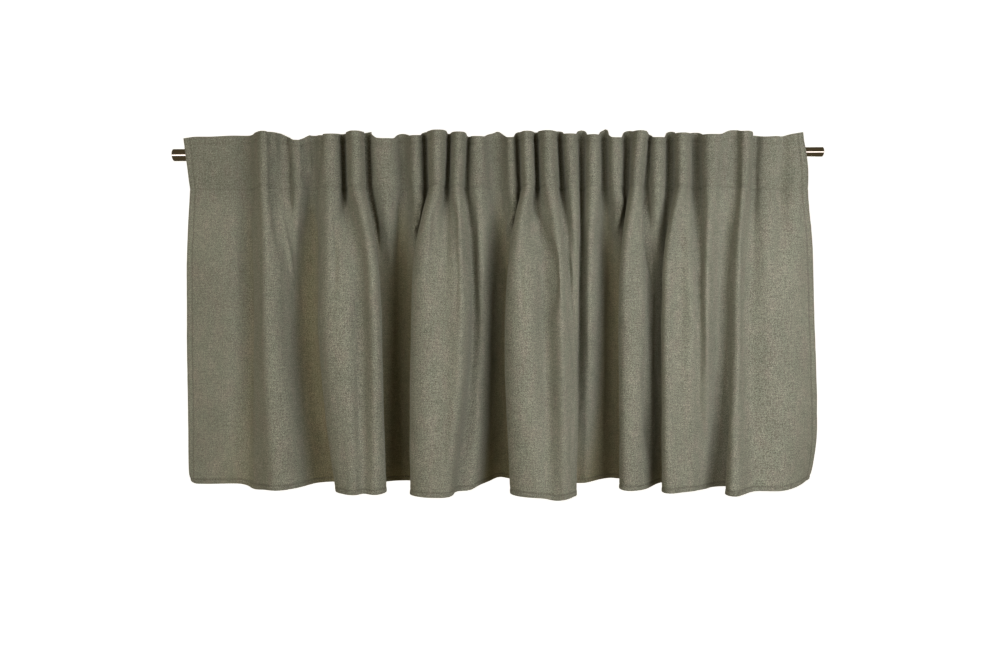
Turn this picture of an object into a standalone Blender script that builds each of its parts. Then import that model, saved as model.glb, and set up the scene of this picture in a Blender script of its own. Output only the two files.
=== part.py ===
"""Gathered window valance on a telescopic rod.

One cloth panel hangs from a level rod by strap loops sewn behind its heading.
Frame: +X to the right seen from the room, +Y towards the window, +Z up,
origin on the rod's axis at mid-width. Lengths in the tables are millimetres.
"""
import math

import bmesh
import bpy
import numpy as np

MM = 0.001

# ---- driving sizes (mm) -------------------------------------------------
TOP_EDGE = 16.5          # height of the turned top edge above the rod's axis
SEAM = -61.0             # lower stitch row of the heading
MID_LEVEL = -268.0       # level of the middle section in the fold table
HEM = -528.0             # bottom edge
HEM_HEIGHT = 14.0        # turned and stitched bottom hem
CLOTH = 1.5              # sheet thickness, woven cloth with its nap
TURNED = 2.1             # sheet thickness where it is turned over at the hem
VIEW = 1250.0            # distance from which the fold positions are read
EYE = -288.0             # height from which they are read
STEP = 1.6               # one table step across, on the rod's plane
MIDDLE = 500.0           # table step at mid-width
HEAD_FADE = 78.0         # how far the ribs of the heading run on below the seam
FLARE_MID = 1.10         # depth of the folds at mid height, share of the table's
FLARE_HEM = 0.83         # depth of the folds at the hem, share of the table's
HEM_SAG = 0.036          # a fold that stands forward hangs lower by this share
CORNER_CURL = 12.0       # how far the lower right corner is drawn in
CORNER_LIFT = 8.0        # how far the top right corner stands up
CORNER_DROP = 2.8        # how far the top left corner hangs down
SLANT = 0.0051           # the cloth runs down to the right of the rod's line by this share
ROUND = 0.40             # depth of a rib's two edges, share of the way to the grooves
GROOVE_FLOOR = 1.0       # least half width of a groove's floor (steps)
COLUMN_PITCH = 21.0      # largest width of one strip of the sheet

ROD_OUTER_R = 9.5        # wide tube, left
ROD_OUTER_BORE = 7.8
ROD_INNER_R = 7.5        # narrow tube, right, slides in the wide one
ROD_INNER_BORE = 6.5
ROD_LEFT_END = -520.5
ROD_RIGHT_END = 517.5
ROD_JOINT = 52.0         # open end of the wide tube
ROD_OVERLAP = 150.0      # length of the narrow tube inside the wide one
ROD_CAP = 2.0            # closed end wall
ROD_CHAMFER = 0.6
ROD_SIDES = 40

LOOP_WIDTH = 11.0        # strap loops behind the heading
LOOP_THICK = 1.0
LOOP_GAP = 0.35          # clear space to the rod and to the cloth
LOOP_TOP = 12.5          # where the strap leaves the cloth, at the top stitch row
LOOP_FOOT = -58.0        # lower end of the strap, at the lower stitch row
LOOP_SEWN = 9.0          # length of strap that lies on the cloth at each end
LOOP_TURNS = 8           # straight pieces of the strap round the rod

# ---- ribs of the heading, left to right ---------------------------------
# left/right edge at the top edge and at the seam (steps), depth of the rib's
# front and of the groove after it, rise of the top edge on both (mm)
RIB_COLUMNS = ("rib", "left_top", "right_top", "left_seam", "right_seam",
               "front", "groove", "rise", "groove_rise")
RIBS = [
    ("00", 184.5, 238.0, 191.0, 238.0, -22, -14,  4.8,  8.4),
    ("01", 256.5, 273.0, 258.0, 271.0, -58, -26,  5.2,  5.0),
    ("02", 292.5, 303.0, 293.0, 306.0, -38, -14, -4.0,  8.0),
    ("03", 321.0, 340.0, 320.0, 341.5, -51, -14,  2.5, 11.0),
    ("04", 348.0, 363.5, 349.0, 365.0, -62, -20,  4.5, 10.0),
    ("05", 372.5, 396.0, 374.0, 399.0, -42, -16, -2.5, 11.0),
    ("07", 409.5, 423.0, 410.5, 424.0, -46, -14,  1.5, 14.0),
    ("08", 429.0, 447.0, 430.0, 444.5, -66, -22,  5.0,  9.0),
    ("09", 453.0, 467.0, 451.5, 463.5, -60, -20,  3.5,  5.0),
    ("10", 472.0, 486.0, 470.5, 488.0, -46, -14,  0.0, 12.0),
    ("11", 507.0, 516.0, 507.0, 518.5, -40, -14,  0.0, 14.0),
    ("12", 521.0, 534.0, 522.5, 535.5, -61, -16,  4.5, 13.0),
    ("13", 540.0, 557.0, 541.5, 559.0, -62, -15,  5.0, 15.0),
    ("14", 564.0, 578.0, 567.0, 579.5, -50, -14,  3.0, 17.0),
    ("15", 587.5, 600.5, 586.5, 601.5, -52, -14,  1.5, 16.0),
    ("16", 609.5, 623.5, 610.0, 623.5, -49, -14, -2.5, 16.0),
    ("17", 634.0, 648.5, 630.0, 643.0, -60, -22,  5.5,  7.5),
    ("18", 653.5, 666.5, 651.5, 665.5, -50, -14, -2.5, 15.0),
    ("19", 676.0, 691.0, 676.0, 690.5, -58, -15,  2.5, 13.0),
    ("20", 703.0, 722.0, 703.5, 720.0, -52, -20,  1.5, 13.0),
    ("21", 741.0, 753.5, 740.0, 750.0, -54, -13,  7.0,  8.5),
    ("22", 761.0, 803.5, 759.0, 807.5, -28,   0,  2.5,  0.0),
]

# ---- folds of the body, left to right -----------------------------------
# each line runs down the cloth from a rib's left edge (l), middle (m), right
# edge (r) or the groove after it (g, h: its floor's two sides); place across
# (steps) and depth (mm) at the middle level and at the hem. A blank start
# begins in the body.
FOLD_COLUMNS = ("starts_at", "across_mid", "depth_mid", "across_hem", "depth_hem")
FOLDS = [
    ("00l", 187.0,  -8, 189.0,   2),
    ("",    212.0, -16, 212.0,  -2),
    ("00r", 234.0, -16, 231.0,   0),
    ("00g", 248.0,  -4, 246.0,   0),
    ("01l", 258.0, -30, 257.0, -18),
    ("01m", 266.5, -52, 274.0, -62),
    ("01r", 281.0, -40, 292.0, -44),
    ("02g", 303.0,   4, 318.0,   8),
    ("",    318.0,   4, 340.0,  22),
    ("03l", 318.5, -46, 334.5, -64),
    ("03m", 326.0, -66, 343.0, -84),
    ("03g", 345.0, -72, 355.0, -92),
    ("04l", 361.0, -54, 363.5, -80),
    ("04m", 374.0, -78, 375.0, -92),
    ("04r", 382.0, -62, 385.5, -66),
    ("04g", 380.0, -10, 380.0,   8),
    ("",    392.0,   8, 394.0,  30),
    ("05g", 404.0,   8, 412.0,  32),
    ("07g", 420.0,  -2, 424.0,  26),
    ("08l", 409.5, -62, 408.5, -86),
    ("08m", 422.0, -80, 422.0, -110),
    ("08g", 446.0, -78, 441.0, -114),
    ("09m", 462.5, -84, 448.0, -106),
    ("09r", 469.0, -64, 452.0, -88),
    ("09g", 473.0, -28, 456.5, -60),
    ("",    484.0, -46, 470.0, -60),
    ("",    495.0,  -8, 488.0,  24),
    ("10g", 506.0,   4, 504.0,  50),
    ("11g", 516.0,   0, 522.0,  46),
    ("12l", 504.0, -64, 509.0, -80),
    ("12m", 513.0, -82, 518.0, -102),
    ("12g", 531.0, -84, 536.0, -114),
    ("13l", 546.0, -60, 549.0, -112),
    ("13m", 561.0, -84, 562.0, -122),
    ("13g", 571.0, -70, 568.0, -116),
    ("14r", 578.5, -58, 575.0, -92),
    ("14g", 579.0, -20, 572.0,   0),
    ("15m", 590.0, -40, 586.0,   4),
    ("15r", 599.0, -14, 600.0,  26),
    ("15g", 607.0,   6, 612.0,  44),
    ("16m", 620.0,   8, 626.0,  46),
    ("16g", 628.0,  -4, 632.0,  30),
    ("17l", 618.0, -46, 618.0, -44),
    ("17m", 625.5, -62, 626.0, -66),
    ("17r", 642.0, -56, 643.0, -50),
    ("17g", 650.0, -30, 652.0, -14),
    ("18m", 657.0, -16, 662.0,  12),
    ("18g", 669.0, -10, 674.0,   8),
    ("19l", 660.5, -50, 661.0, -62),
    ("19m", 666.5, -66, 668.0, -84),
    ("",    679.0, -54, 680.0, -72),
    ("19r", 689.0, -64, 690.0, -64),
    ("19g", 699.0, -52, 698.0, -52),
    ("20m", 708.0, -62, 705.0, -42),
    ("20r", 715.0, -36, 711.0, -26),
    ("20g", 724.0, -18, 736.0, -24),
    ("21l", 730.0, -42, 724.5, -84),
    ("21m", 737.0, -58, 733.0, -108),
    ("21g", 747.0, -34, 755.0, -62),
    ("22l", 770.0, -46, 777.0, -64),
    ("22m", 794.0, -34, 798.0, -34),
    ("22r", 814.5,  -8, 817.0,  14),
]

# levels of the sheet's rows of faces, top edge to hem
LEVELS = (TOP_EDGE, -8.0, -34.0, SEAM, -82.0, -108.0, -140.0, -190.0, MID_LEVEL,
          -350.0, -440.0, HEM + HEM_HEIGHT, HEM)

# strap loops: the groove that each sits behind, or for one behind a flat end
# panel its place across (steps)
LOOPS = [("", 199.0), ("02g", 0), ("03g", 0), ("05g", 0), ("07g", 0), ("10g", 0),
         ("13g", 0), ("15g", 0), ("16g", 0), ("18g", 0), ("19g", 0), ("", 793.0)]

MATERIALS = {
    "linen_cloth": ((0.145, 0.138, 0.104, 1.0), 0.92, 0.0),
    "strap_cloth": ((0.130, 0.124, 0.094, 1.0), 0.92, 0.0),
    "dark_steel": ((0.085, 0.070, 0.060, 1.0), 0.28, 1.0),
}


# ---- section curves -----------------------------------------------------
def hung(across, depth):
    """Table step to millimetres from mid-width; what stands forward is drawn in."""
    return (across - MIDDLE) * STEP * (VIEW + depth) / VIEW


def rib_lines(at_top):
    """Named control points of the heading's section, at the top or at the seam."""
    names, points, rises = [], [], []
    last = len(RIBS) - 1
    for i, (rib, lt, rt, ls, rs, front, groove, rise, groove_rise) in enumerate(RIBS):
        left, right = (lt, rt) if at_top else (ls, rs)
        before = front if i == 0 else RIBS[i - 1][6]
        after = front if i == last else groove
        inset = min(0.12 * (right - left), 1.6)
        points.append((left + (inset if i else 0.0), front + ROUND * (before - front)))
        points.append(((left + right) / 2, front))
        points.append((right - (inset if i < last else 0.0), front + ROUND * (after - front)))
        names += [rib + "l", rib + "m", rib + "r"]
        rises += [rise] * 3
        if i < last:
            next_left = RIBS[i + 1][1] if at_top else RIBS[i + 1][3]
            floor = max(GROOVE_FLOOR, 0.22 * (next_left - right))
            points.append(((right + next_left) / 2 - floor, groove))
            points.append(((right + next_left) / 2 + floor, groove))
            names += [rib + "g", rib + "h"]
            rises += [groove_rise] * 2
    return names, points, rises


def smooth_curve(points, per_span=12):
    """Centripetal spline through the points: dense curve and each point's index."""
    given = np.array([(hung(x, y), y) for x, y in points], float)
    ends = np.vstack([2 * given[0] - given[1], given, 2 * given[-1] - given[-2]])
    dense, index = [], []
    for i in range(len(given) - 1):
        p0, p1, p2, p3 = ends[i:i + 4]
        t1 = math.sqrt(np.linalg.norm(p1 - p0))
        t2 = t1 + math.sqrt(np.linalg.norm(p2 - p1))
        t3 = t2 + math.sqrt(np.linalg.norm(p3 - p2))
        index.append(len(dense))
        for k in range(per_span):
            t = t1 + (t2 - t1) * k / per_span
            a1 = ((t1 - t) * p0 + t * p1) / t1
            a2 = ((t2 - t) * p1 + (t - t1) * p2) / (t2 - t1)
            a3 = ((t3 - t) * p2 + (t - t2) * p3) / (t3 - t2)
            b1 = ((t2 - t) * a1 + t * a2) / t2
            b2 = ((t3 - t) * a2 + (t - t1) * a3) / (t3 - t1)
            dense.append(((t2 - t) * b1 + (t - t1) * b2) / (t2 - t1))
    index.append(len(dense))
    dense.append(given[-1])
    return np.array(dense), index


def run_length(curve):
    steps = np.linalg.norm(np.diff(curve, axis=0), axis=1)
    return np.concatenate([[0.0], np.cumsum(steps)])


class Section:
    """A section curve that is looked up by a thread's place across the cloth."""

    def __init__(self, points, tie_rows, tie_places):
        self.curve, index = smooth_curve(points)
        self.length = run_length(self.curve)
        self.tie_length = self.length[[index[k] for k in tie_rows]]
        self.tie_place = tie_places

    def at(self, place):
        q = np.interp(place, self.tie_place, self.tie_length)
        return np.stack([np.interp(q, self.length, self.curve[:, k]) for k in (0, 1)], 1)


class Drape:
    """The hung cloth: place() takes a thread across the cloth and a level."""

    def __init__(self):
        self.names, top_points, rises = rib_lines(True)
        _, seam_points, _ = rib_lines(False)
        top, top_index = smooth_curve(top_points)
        seam, seam_index = smooth_curve(seam_points)
        self.threads = 0.5 * (run_length(top)[top_index] + run_length(seam)[seam_index])
        self.rises = np.array(rises)
        rows = list(range(len(self.names)))
        self.top = Section(top_points, rows, self.threads)
        self.seam = Section(seam_points, rows, self.threads)
        ties = [k for k, row in enumerate(FOLDS) if row[0]]
        places = np.array([self.threads[self.names.index(FOLDS[k][0])] for k in ties])
        self.mid = Section([(r[1], r[2] * FLARE_MID) for r in FOLDS], ties, places)
        self.hem = Section([(r[3], r[4] * FLARE_HEM) for r in FOLDS], ties, places)
        self.width = self.threads[-1]

    def place(self, thread, level):
        """x, y, z in millimetres of points along one level of the sheet."""
        down = min(max((TOP_EDGE - level) / (TOP_EDGE - SEAM), 0.0), 1.0)
        heading = self.top.at(thread) * (1 - down) + self.seam.at(thread) * down
        fall = min(max((MID_LEVEL - level) / (MID_LEVEL - HEM), 0.0), 1.0) ** 1.4
        body = self.mid.at(thread) * (1 - fall) + self.hem.at(thread) * fall
        ribbed = math.exp(-(max(SEAM - level, 0.0) / HEAD_FADE) ** 1.25)
        x, y = (body + (heading - body) * ribbed).T
        rise = np.interp(thread, self.threads, self.rises)
        rise = rise + CORNER_LIFT * np.clip(1 - (self.width - thread) / 55.0, 0, 1)
        rise = rise - CORNER_DROP * np.clip(1 - thread / 14.0, 0, 1)
        rise = rise * (1 - down) ** 2
        z = level + rise + HEM_SAG * y * fall * (y < 0) - SLANT * x
        # the lower right corner curls in and back
        low = min(max((HEM + 90.0 - level) / 90.0, 0.0), 1.0)
        near = np.clip(1 - (self.width - thread) / 70.0, 0, 1)
        curl = (low * near) ** 2
        return x - CORNER_CURL * curl, y + 0.6 * CORNER_CURL * curl, z + 0.35 * CORNER_CURL * curl


# ---- Blender helpers ----------------------------------------------------
def clear_scene():
    for obj in list(bpy.data.objects):
        bpy.data.objects.remove(obj, do_unlink=True)


def material(name):
    color, rough, metal = MATERIALS[name]
    mat = bpy.data.materials.get(name) or bpy.data.materials.new(name)
    mat.use_nodes = True
    bsdf = mat.node_tree.nodes["Principled BSDF"]
    bsdf.inputs["Base Color"].default_value = color
    bsdf.inputs["Roughness"].default_value = rough
    bsdf.inputs["Metallic"].default_value = metal
    return mat


def add_object(name, bm, mat, parent, smooth_angle=35.0):
    mesh = bpy.data.meshes.new(name)
    bm.to_mesh(mesh)
    bm.free()
    mesh.materials.append(material(mat))
    mesh.shade_smooth()
    mesh.set_sharp_from_angle(angle=math.radians(smooth_angle))
    obj = bpy.data.objects.new(name, mesh)
    bpy.context.scene.collection.objects.link(obj)
    obj.parent = parent
    return obj


def solidify(obj, thickness, group=None, factor=0.0):
    mod = obj.modifiers.new("thickness", "SOLIDIFY")
    mod.thickness = thickness
    mod.offset = 0.0
    mod.use_rim = True
    if group:
        mod.vertex_group = group
        mod.thickness_vertex_group = factor
    return mod


def build_cloth(drape, parent):
    """One sheet from edge to edge, its rows of faces at LEVELS."""
    threads = [0.0]
    for a, b in zip(drape.threads[:-1], drape.threads[1:]):
        parts = max(1, math.ceil((b - a) / COLUMN_PITCH))
        threads += [a + (b - a) * k / parts for k in range(1, parts + 1)]
    threads = np.array(threads)
    bm = bmesh.new()
    rows = []
    for level in LEVELS:
        x, y, z = drape.place(threads, level)
        rows.append([bm.verts.new((a * MM, b * MM, c * MM)) for a, b, c in zip(x, y, z)])
    for upper, lower in zip(rows[:-1], rows[1:]):
        for k in range(len(threads) - 1):
            bm.faces.new((upper[k], lower[k], lower[k + 1], upper[k + 1]))
    bm.verts.index_update()
    turned = [v.index for v in rows[-1] + rows[-2]]
    bmesh.ops.triangulate(bm, faces=bm.faces[:])
    cloth = add_object("valance_cloth", bm, "linen_cloth", parent, 60.0)
    group = cloth.vertex_groups.new(name="turned")
    group.add(turned, 1.0, "REPLACE")
    solidify(cloth, TURNED * MM, "turned", CLOTH / TURNED)
    return cloth


def build_loop(drape, number, groove, across, parent):
    """Strap sewn behind the heading: up the cloth's back, over and round the rod, down."""
    if groove:
        at = drape.names.index(groove)
        thread = drape.threads[at:at + 2].mean()
    else:
        many = np.linspace(0.0, drape.width, 4000)
        x = drape.place(many, 0.0)[0]
        thread = many[int(np.argmin(np.abs(x - hung(across, -14.0))))]
    # the cloth's back behind the strap, and the strap's lean from top to foot
    beside = np.clip(thread + np.linspace(-0.5, 0.5, 9) * LOOP_WIDTH, 0.0, drape.width)
    back = max(drape.place(beside, level)[1].max() for level in (12.0, -20.0, LOOP_FOOT))
    x_top = drape.place(np.array([thread]), TOP_EDGE)[0][0]
    x_foot = drape.place(np.array([thread]), LOOP_FOOT)[0][0]

    tube = ROD_OUTER_R if x_top < ROD_JOINT else ROD_INNER_R
    front = back + CLOTH / 2 + LOOP_GAP + LOOP_THICK / 2
    reach = tube + LOOP_GAP + LOOP_THICK / 2

    def touch(y, z, side):
        """Angle where the straight strap from (y, z) touches its circle round the rod."""
        return math.atan2(z, y) + side * math.acos(reach / math.hypot(y, z))

    bend = (front + 1.6, LOOP_TOP - 1.4)
    start = touch(*bend, -1)
    end = touch(front, LOOP_FOOT + LOOP_SEWN, 1)
    path = [(front, LOOP_TOP - LOOP_SEWN), (front, LOOP_TOP - 3.2), (front + 0.4, LOOP_TOP - 2.0), bend]
    path += [(reach * math.cos(start + (end - start) * k / LOOP_TURNS),
              reach * math.sin(start + (end - start) * k / LOOP_TURNS)) for k in range(LOOP_TURNS + 1)]
    path += [(front, LOOP_FOOT + LOOP_SEWN), (front, LOOP_FOOT)]

    bm = bmesh.new()
    rows = []
    for y, z in path:
        lean = (TOP_EDGE - z) / (TOP_EDGE - LOOP_FOOT)
        x = x_top + (x_foot - x_top) * lean
        rows.append([bm.verts.new(((x + side * LOOP_WIDTH / 2) * MM, y * MM, z * MM)) for side in (-1, 1)])
    for (a, b), (c, d) in zip(rows[:-1], rows[1:]):
        bm.faces.new((a, b, d, c))
    strap = add_object("hanging_loop_%02d" % number, bm, "strap_cloth", parent)
    solidify(strap, LOOP_THICK * MM)
    strap.modifiers["thickness"].use_even_offset = True
    return strap


def turned_tube(name, profile, mat, parent):
    """Closed tube about the X axis from its profile of (x, radius), outer skin first."""
    bm = bmesh.new()
    rings = []
    for x, radius in profile:
        rings.append([bm.verts.new((x * MM, radius * MM * math.cos(a), radius * MM * math.sin(a)))
                      for a in (2 * math.pi * k / ROD_SIDES for k in range(ROD_SIDES))])
    for ring, after in zip(rings[:-1], rings[1:]):
        for k in range(ROD_SIDES):
            n = (k + 1) % ROD_SIDES
            bm.faces.new((ring[k], ring[n], after[n], after[k]))
    bm.faces.new(rings[0])
    bm.faces.new(rings[-1])
    bmesh.ops.recalc_face_normals(bm, faces=bm.faces[:])
    return add_object(name, bm, mat, parent, 40.0)


def build_rod(parent):
    """Two tubes on one axis: each is closed at its outer end and open at its inner one."""
    left, right, joint, c = ROD_LEFT_END, ROD_RIGHT_END, ROD_JOINT, ROD_CHAMFER
    wide = [(left, ROD_OUTER_R - c), (left + c, ROD_OUTER_R), (joint - c, ROD_OUTER_R),
            (joint, ROD_OUTER_R - c), (joint, ROD_OUTER_BORE), (left + ROD_CAP, ROD_OUTER_BORE)]
    turned_tube("rod_outer_tube", wide, "dark_steel", parent)
    inner = joint - ROD_OVERLAP
    narrow = [(right, ROD_INNER_R - c), (right - c, ROD_INNER_R), (inner, ROD_INNER_R),
              (inner, ROD_INNER_BORE), (right - ROD_CAP, ROD_INNER_BORE)]
    turned_tube("rod_inner_tube", narrow, "dark_steel", parent)


def main():
    clear_scene()
    root = bpy.data.objects.new("valance_and_rod", None)
    bpy.context.scene.collection.objects.link(root)
    drape = Drape()
    build_cloth(drape, root)
    for number, (groove, across) in enumerate(LOOPS, 1):
        build_loop(drape, number, groove, across, root)
    build_rod(root)


main()
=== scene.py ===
"""Gathered window valance on a telescopic rod: cloth, stitching and finish.

Frame: +X to the right seen from the room, +Y towards the window, +Z up,
origin on the rod's axis at mid-width. Lengths in the tables are millimetres.
"""
import math

import bmesh
import bpy
import numpy as np
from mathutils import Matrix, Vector


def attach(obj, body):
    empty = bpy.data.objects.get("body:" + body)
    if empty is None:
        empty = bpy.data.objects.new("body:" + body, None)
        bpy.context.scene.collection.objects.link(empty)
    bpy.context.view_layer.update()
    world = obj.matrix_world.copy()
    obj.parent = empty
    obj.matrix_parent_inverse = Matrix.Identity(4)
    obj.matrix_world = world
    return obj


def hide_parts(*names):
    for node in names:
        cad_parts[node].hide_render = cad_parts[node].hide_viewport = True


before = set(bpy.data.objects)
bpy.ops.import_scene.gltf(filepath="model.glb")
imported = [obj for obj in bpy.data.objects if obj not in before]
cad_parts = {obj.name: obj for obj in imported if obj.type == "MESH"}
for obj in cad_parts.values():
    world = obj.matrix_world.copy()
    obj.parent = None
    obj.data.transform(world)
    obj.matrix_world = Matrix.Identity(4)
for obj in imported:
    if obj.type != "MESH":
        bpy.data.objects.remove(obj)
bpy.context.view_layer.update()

MM = 0.001

# ---- driving sizes (mm) -------------------------------------------------
TOP_EDGE = 16.5          # height of the turned top edge above the rod's axis
SEAM = -61.0             # lower stitch row of the heading
MID_LEVEL = -268.0       # level of the middle section in the fold table
HEM = -528.0             # bottom edge
HEM_HEIGHT = 14.0        # turned and stitched bottom hem
CLOTH = 1.5              # sheet thickness, woven cloth with its nap
TURNED = 2.1             # sheet thickness where it is turned over at the hem
VIEW = 1250.0            # distance from which the fold positions are read
EYE = -288.0             # height from which they are read
STEP = 1.6               # one table step across, on the rod's plane
MIDDLE = 500.0           # table step at mid-width
HEAD_FADE = 78.0         # how far the ribs of the heading run on below the seam
FLARE_MID = 1.10         # depth of the folds at mid height, share of the table's
FLARE_HEM = 0.83         # depth of the folds at the hem, share of the table's
HEM_SAG = 0.036          # a fold that stands forward hangs lower by this share
CORNER_CURL = 12.0       # how far the lower right corner is drawn in
CORNER_LIFT = 8.0        # how far the top right corner stands up
CORNER_DROP = 2.8        # how far the top left corner hangs down
SLANT = 0.0051           # the cloth runs down to the right of the rod's line by this share
ROUND = 0.40             # depth of a rib's two edges, share of the way to the grooves
GROOVE_FLOOR = 1.0       # least half width of a groove's floor (steps)
COLUMN_PITCH = 21.0      # largest width of one strip of the sheet

ROD_OUTER_R = 9.5        # wide tube, left
ROD_OUTER_BORE = 7.8
ROD_INNER_R = 7.5        # narrow tube, right, slides in the wide one
ROD_INNER_BORE = 6.5
ROD_LEFT_END = -520.5
ROD_RIGHT_END = 517.5
ROD_JOINT = 52.0         # open end of the wide tube
ROD_OVERLAP = 150.0      # length of the narrow tube inside the wide one
ROD_CAP = 2.0            # closed end wall
ROD_CHAMFER = 0.6
ROD_SIDES = 40

LOOP_WIDTH = 11.0        # strap loops behind the heading
LOOP_THICK = 1.0
LOOP_GAP = 0.35          # clear space to the rod and to the cloth
LOOP_TOP = 12.5          # where the strap leaves the cloth, at the top stitch row
LOOP_FOOT = -58.0        # lower end of the strap, at the lower stitch row
LOOP_SEWN = 9.0          # length of strap that lies on the cloth at each end
LOOP_TURNS = 8           # straight pieces of the strap round the rod

# ---- ribs of the heading, left to right ---------------------------------
# left/right edge at the top edge and at the seam (steps), depth of the rib's
# front and of the groove after it, rise of the top edge on both (mm)
RIB_COLUMNS = ("rib", "left_top", "right_top", "left_seam", "right_seam",
               "front", "groove", "rise", "groove_rise")
RIBS = [
    ("00", 184.5, 238.0, 191.0, 238.0, -22, -14,  4.8,  8.4),
    ("01", 256.5, 273.0, 258.0, 271.0, -58, -26,  5.2,  5.0),
    ("02", 292.5, 303.0, 293.0, 306.0, -38, -14, -4.0,  8.0),
    ("03", 321.0, 340.0, 320.0, 341.5, -51, -14,  2.5, 11.0),
    ("04", 348.0, 363.5, 349.0, 365.0, -62, -20,  4.5, 10.0),
    ("05", 372.5, 396.0, 374.0, 399.0, -42, -16, -2.5, 11.0),
    ("07", 409.5, 423.0, 410.5, 424.0, -46, -14,  1.5, 14.0),
    ("08", 429.0, 447.0, 430.0, 444.5, -66, -22,  5.0,  9.0),
    ("09", 453.0, 467.0, 451.5, 463.5, -60, -20,  3.5,  5.0),
    ("10", 472.0, 486.0, 470.5, 488.0, -46, -14,  0.0, 12.0),
    ("11", 507.0, 516.0, 507.0, 518.5, -40, -14,  0.0, 14.0),
    ("12", 521.0, 534.0, 522.5, 535.5, -61, -16,  4.5, 13.0),
    ("13", 540.0, 557.0, 541.5, 559.0, -62, -15,  5.0, 15.0),
    ("14", 564.0, 578.0, 567.0, 579.5, -50, -14,  3.0, 17.0),
    ("15", 587.5, 600.5, 586.5, 601.5, -52, -14,  1.5, 16.0),
    ("16", 609.5, 623.5, 610.0, 623.5, -49, -14, -2.5, 16.0),
    ("17", 634.0, 648.5, 630.0, 643.0, -60, -22,  5.5,  7.5),
    ("18", 653.5, 666.5, 651.5, 665.5, -50, -14, -2.5, 15.0),
    ("19", 676.0, 691.0, 676.0, 690.5, -58, -15,  2.5, 13.0),
    ("20", 703.0, 722.0, 703.5, 720.0, -52, -20,  1.5, 13.0),
    ("21", 741.0, 753.5, 740.0, 750.0, -54, -13,  7.0,  8.5),
    ("22", 761.0, 803.5, 759.0, 807.5, -28,   0,  2.5,  0.0),
]

# ---- folds of the body, left to right -----------------------------------
# each line runs down the cloth from a rib's left edge (l), middle (m), right
# edge (r) or the groove after it (g, h: its floor's two sides); place across
# (steps) and depth (mm) at the middle level and at the hem. A blank start
# begins in the body.
FOLD_COLUMNS = ("starts_at", "across_mid", "depth_mid", "across_hem", "depth_hem")
FOLDS = [
    ("00l", 187.0,  -8, 189.0,   2),
    ("",    212.0, -16, 212.0,  -2),
    ("00r", 234.0, -16, 231.0,   0),
    ("00g", 248.0,  -4, 246.0,   0),
    ("01l", 258.0, -30, 257.0, -18),
    ("01m", 266.5, -52, 274.0, -62),
    ("01r", 281.0, -40, 292.0, -44),
    ("02g", 303.0,   4, 318.0,   8),
    ("",    318.0,   4, 340.0,  22),
    ("03l", 318.5, -46, 334.5, -64),
    ("03m", 326.0, -66, 343.0, -84),
    ("03g", 345.0, -72, 355.0, -92),
    ("04l", 361.0, -54, 363.5, -80),
    ("04m", 374.0, -78, 375.0, -92),
    ("04r", 382.0, -62, 385.5, -66),
    ("04g", 380.0, -10, 380.0,   8),
    ("",    392.0,   8, 394.0,  30),
    ("05g", 404.0,   8, 412.0,  32),
    ("07g", 420.0,  -2, 424.0,  26),
    ("08l", 409.5, -62, 408.5, -86),
    ("08m", 422.0, -80, 422.0, -110),
    ("08g", 446.0, -78, 441.0, -114),
    ("09m", 462.5, -84, 448.0, -106),
    ("09r", 469.0, -64, 452.0, -88),
    ("09g", 473.0, -28, 456.5, -60),
    ("",    484.0, -46, 470.0, -60),
    ("",    495.0,  -8, 488.0,  24),
    ("10g", 506.0,   4, 504.0,  50),
    ("11g", 516.0,   0, 522.0,  46),
    ("12l", 504.0, -64, 509.0, -80),
    ("12m", 513.0, -82, 518.0, -102),
    ("12g", 531.0, -84, 536.0, -114),
    ("13l", 546.0, -60, 549.0, -112),
    ("13m", 561.0, -84, 562.0, -122),
    ("13g", 571.0, -70, 568.0, -116),
    ("14r", 578.5, -58, 575.0, -92),
    ("14g", 579.0, -20, 572.0,   0),
    ("15m", 590.0, -40, 586.0,   4),
    ("15r", 599.0, -14, 600.0,  26),
    ("15g", 607.0,   6, 612.0,  44),
    ("16m", 620.0,   8, 626.0,  46),
    ("16g", 628.0,  -4, 632.0,  30),
    ("17l", 618.0, -46, 618.0, -44),
    ("17m", 625.5, -62, 626.0, -66),
    ("17r", 642.0, -56, 643.0, -50),
    ("17g", 650.0, -30, 652.0, -14),
    ("18m", 657.0, -16, 662.0,  12),
    ("18g", 669.0, -10, 674.0,   8),
    ("19l", 660.5, -50, 661.0, -62),
    ("19m", 666.5, -66, 668.0, -84),
    ("",    679.0, -54, 680.0, -72),
    ("19r", 689.0, -64, 690.0, -64),
    ("19g", 699.0, -52, 698.0, -52),
    ("20m", 708.0, -62, 705.0, -42),
    ("20r", 715.0, -36, 711.0, -26),
    ("20g", 724.0, -18, 736.0, -24),
    ("21l", 730.0, -42, 724.5, -84),
    ("21m", 737.0, -58, 733.0, -108),
    ("21g", 747.0, -34, 755.0, -62),
    ("22l", 770.0, -46, 777.0, -64),
    ("22m", 794.0, -34, 798.0, -34),
    ("22r", 814.5,  -8, 817.0,  14),
]

# levels of the sheet's rows of faces, top edge to hem
LEVELS = (TOP_EDGE, -8.0, -34.0, SEAM, -82.0, -108.0, -140.0, -190.0, MID_LEVEL,
          -350.0, -440.0, HEM + HEM_HEIGHT, HEM)

# strap loops: the groove that each sits behind, or for one behind a flat end
# panel its place across (steps)
LOOPS = [("", 199.0), ("02g", 0), ("03g", 0), ("05g", 0), ("07g", 0), ("10g", 0),
         ("13g", 0), ("15g", 0), ("16g", 0), ("18g", 0), ("19g", 0), ("", 793.0)]


# ---- section curves -----------------------------------------------------
def hung(across, depth):
    """Table step to millimetres from mid-width; what stands forward is drawn in."""
    return (across - MIDDLE) * STEP * (VIEW + depth) / VIEW


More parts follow.
